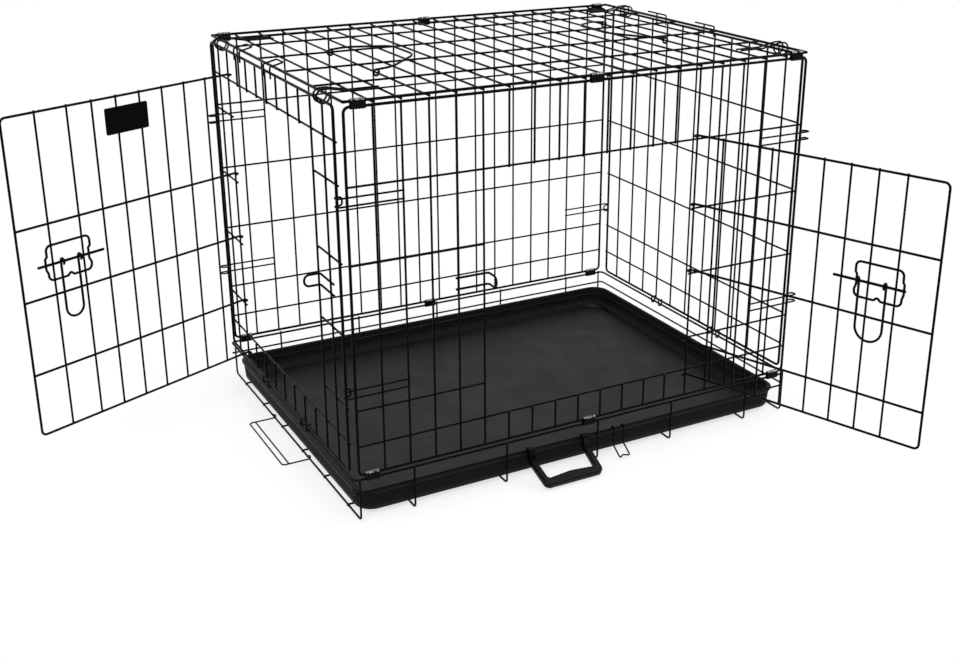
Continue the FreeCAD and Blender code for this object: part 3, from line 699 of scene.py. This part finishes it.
@dataclass
class Mouldings:
    """The tray, the carry handle and the bare plate."""

    # Polypropylene: a waxy black, with a soft sheen on the floor and on the rubbed edges.
    tray: MouldedPlastic = MouldedPlastic(
        name="polypropylene_tray", body="#060607", scuffed="#0d0d0e", roughness=0.38, spread=0.16,
        grain_mm=1.4, depth_mm=0.06, specular=0.15, matt_above_mm=13.5)
    edge: MouldedPlastic = MouldedPlastic(
        name="polypropylene_tray_edge", body="#060607", scuffed="#0d0d0e", roughness=0.38,
        spread=0.16, grain_mm=1.4, depth_mm=0.06, specular=0.15)
    # Nylon: deeper and smoother, with narrow bright lines along its rounds.
    handle: MouldedPlastic = MouldedPlastic(
        name="moulded_nylon_handle", body="#030303", scuffed="#080809", roughness=0.2, spread=0.14,
        grain_mm=0.9, depth_mm=0.03, specular=0.1)
    # Styrene sheet: dull and even, with hardly any reflection.
    plate: MouldedPlastic = MouldedPlastic(
        name="matt_styrene_plate", body="#020202", scuffed="#060606", roughness=0.5, spread=0.14,
        grain_mm=0.8, depth_mm=0.03, specular=0.05)

    def build(self) -> tuple[list[str], Material]:
        """Dress the three mouldings.

        Returns:
            The nodes that were dressed, and the material of the tray's rubbed edges.
        """
        finishes = {"tray": self.tray, "carry_handle": self.handle, "bare_plate": self.plate}
        for node, finish in finishes.items():
            dress(node, finish.build())
        return list(finishes), self.edge.build()


@dataclass(frozen=True)
class RoundEdge:
    """Middle line and radius of one round edge of the tray, in millimetres."""

    wide: float
    deep: float
    height: float
    radius: float


@dataclass
class TrayRolls:
    """Round edges of the moulded tray along its lip, wall and shelf, in millimetres."""

    lip: RoundEdge = RoundEdge(588.7, 435.1, 29.6, 2.4)
    ridge: RoundEdge = RoundEdge(583.8, 430.2, 21.5, 1.2)
    shelf: RoundEdge = RoundEdge(557.6, 404.0, 13.0, 1.3)
    corner: float = 22.0
    corner_cuts: int = 8
    roundness: int = 2

    def loop(self, edge: RoundEdge) -> Object:
        """Run one round edge about the tray.

        Args:
            edge: its middle line and radius.

        Returns:
            The closed round edge.
        """
        bpy.ops.object.select_all(action="DESELECT")
        bpy.ops.mesh.primitive_plane_add(size=1.0, location=(0, 0, edge.height * MM))
        bpy.ops.object.mode_set(mode="EDIT")
        bpy.ops.mesh.select_all(action="SELECT")
        bpy.ops.transform.resize(value=(edge.wide * MM, edge.deep * MM, 1.0))
        bpy.ops.mesh.bevel(offset=self.corner * MM, affect="VERTICES", segments=self.corner_cuts)
        bpy.ops.mesh.delete(type="ONLY_FACE")
        bpy.ops.object.mode_set(mode="OBJECT")
        bpy.ops.object.convert(target="CURVE")
        line = bpy.context.object
        line.data.bevel_depth = edge.radius * MM
        line.data.bevel_resolution = self.roundness
        bpy.ops.object.convert(target="MESH")
        return bpy.context.object

    def build(self, material: Material) -> str:
        """Make the edges as one piece that slides with the tray.

        Args:
            material: the finish of the edges.

        Returns:
            The piece's name.
        """
        loops = [self.loop(edge) for edge in (self.lip, self.ridge, self.shelf)]
        return gather(loops, "tray_round_edges", "tray", material)


@dataclass(frozen=True)
class SoftBox:
    """A large square lamp, in metres and watts."""

    name: str
    spot: tuple[float, float, float]
    size: float
    power: float


@dataclass
class Studio:
    """Pale floor, soft lamps, white surroundings and the photograph's camera."""

    image: tuple[int, int] = (960, 664)
    focal_px: float = 1283.94
    principal: tuple[float, float] = (523.88, 279.42)
    eye_mm: tuple[float, float, float] = (-750.48, -1399.01, 746.03)
    azimuth: float = 29.302
    elevation: float = 20.155
    roll: float = 0.298
    sensor_mm: float = 36.0
    sight_m: float = 200.0
    floor_mm: float = 60000.0
    floor_drop_mm: float = 0.2
    fade_mm: tuple[float, float] = (320.0, 620.0)
    lift: float = 0.7
    paper: str = "#f4f4f4"
    white: str = "#ffffff"
    soft_light: float = 0.75
    key: SoftBox = SoftBox("softbox_key", (-1.6, -1.8, 3.0), 2.6, 70.0)
    fill: SoftBox = SoftBox("softbox_fill", (2.2, -0.6, 2.6), 2.4, 40.0)
    aim: tuple[float, float, float] = (0.0, 0.0, 0.2)

    def backdrop_rays(self, tree: NodeTree) -> NodeSocket:
        """Find the rays that see the floor and the world as a white backdrop.

        Args:
            tree: the node tree of the floor or the world.

        Returns:
            A socket that is one for camera, glossy and transmission rays and nought for others.
        """
        light = add_node(tree, "ShaderNodeLightPath")
        seen = add_node(tree, "ShaderNodeMath", {"operation": "MAXIMUM"},
                        {0: light.outputs["Is Camera Ray"], 1: light.outputs["Is Glossy Ray"]})
        return add_node(tree, "ShaderNodeMath", {"operation": "MAXIMUM"},
                        {0: seen.outputs[0],
                         1: light.outputs["Is Transmission Ray"]}).outputs[0]

    def floor(self) -> None:
        """Lay the pale floor, which keeps the shadow near the crate."""
        bpy.ops.object.select_all(action="DESELECT")
        bpy.ops.mesh.primitive_plane_add(size=self.floor_mm * MM,
                                         location=(0, 0, -self.floor_drop_mm * MM))
        ground = bpy.context.object
        ground.name = "studio_floor"
        material = bpy.data.materials.new("white_paper_floor")
        material.use_nodes = True
        tree = material.node_tree
        tree.nodes.clear()
        place = add_node(tree, "ShaderNodeTexCoord").outputs["Object"]
        reach = add_node(tree, "ShaderNodeVectorMath", {"operation": "LENGTH"}, {0: place})
        near, far = self.fade_mm
        fade = add_node(tree, "ShaderNodeMapRange",
                        {"From Min": near * MM, "From Max": far * MM, "To Min": self.lift,
                         "To Max": 1.0, "interpolation_type": "SMOOTHSTEP"},
                        {"Value": reach.outputs["Value"]})
        paper = add_node(tree, "ShaderNodeBsdfDiffuse", {"Color": srgb(self.paper)})
        glow = add_node(tree, "ShaderNodeEmission", {"Color": srgb(self.white)},
                        {"Strength": self.backdrop_rays(tree)})
        blend = add_node(tree, "ShaderNodeMixShader",
                         links={0: fade.outputs["Result"], 1: paper.outputs[0],
                                2: glow.outputs[0]})
        add_node(tree, "ShaderNodeOutputMaterial", links={"Surface": blend.outputs[0]})
        ground.data.materials.append(material)

    def lamps(self) -> None:
        """Hang two large soft lamps over the crate."""
        for box in (self.key, self.fill):
            data = bpy.data.lights.new(box.name, "AREA")
            data.size = box.size
            data.energy = box.power
            lamp = bpy.data.objects.new(box.name, data)
            lamp.location = box.spot
            beam = Vector(self.aim) - Vector(box.spot)
            lamp.rotation_euler = beam.to_track_quat("-Z", "Y").to_euler()
            bpy.context.collection.objects.link(lamp)

    def surroundings(self) -> None:
        """Make the world white as a backdrop and softer as the light on the object."""
        world = bpy.data.worlds.new("white_studio")
        bpy.context.scene.world = world
        world.use_nodes = True
        tree = world.node_tree
        tree.nodes.clear()
        soft = add_node(tree, "ShaderNodeBackground",
                        {"Color": srgb(self.white), "Strength": self.soft_light})
        white = add_node(tree, "ShaderNodeBackground",
                         {"Color": srgb(self.white), "Strength": 1.0})
        mix = add_node(tree, "ShaderNodeMixShader",
                       links={0: self.backdrop_rays(tree), 1: soft.outputs[0],
                              2: white.outputs[0]})
        add_node(tree, "ShaderNodeOutputWorld", links={"Surface": mix.outputs[0]})

    def camera(self) -> None:
        """Stand the camera where the photograph was taken."""
        wide, tall = self.image
        data = bpy.data.cameras.new("photo_camera")
        data.sensor_fit = "HORIZONTAL"
        data.sensor_width = self.sensor_mm
        data.lens = self.focal_px * self.sensor_mm / wide
        data.shift_x = (wide / 2 - self.principal[0]) / wide
        data.shift_y = (self.principal[1] - tall / 2) / wide
        data.clip_end = self.sight_m
        eye = bpy.data.objects.new("photo_camera", data)
        az = math.radians(self.azimuth)
        el = math.radians(self.elevation)
        ahead = Vector((math.sin(az) * math.cos(el), math.cos(az) * math.cos(el), -math.sin(el)))
        level = Vector((math.cos(az), -math.sin(az), 0))
        top = level.cross(ahead)
        tilt = math.radians(self.roll)
        right = level * math.cos(tilt) + top * math.sin(tilt)
        upper = right.cross(ahead)
        turn = Matrix((right, upper, -ahead)).transposed()
        eye.matrix_world = Matrix.Translation(Vector(self.eye_mm) * MM) @ turn.to_4x4()
        bpy.context.collection.objects.link(eye)
        bpy.context.scene.camera = eye

    def build(self) -> None:
        """Set up the whole studio."""
        self.floor()
        self.lamps()
        self.surroundings()
        self.camera()
        bpy.context.scene.view_settings.view_transform = "Standard"


def main() -> None:
    """Build the studio, then dress the crate piece by piece."""
    logging.basicConfig(level=logging.INFO)
    Studio().build()
    LOG.info("studio ready")
    dressed, wire, strip = Wirework().build()
    made = Welds().build(wire)
    made += Crimps().build(strip)
    moulded, edge = Mouldings().build()
    made.append(TrayRolls().build(edge))
    for name in dressed + moulded:
        LOG.info("dressed %s", name)
    for name in made:
        LOG.info("made %s", name)


if __name__ == "__main__":
    main()
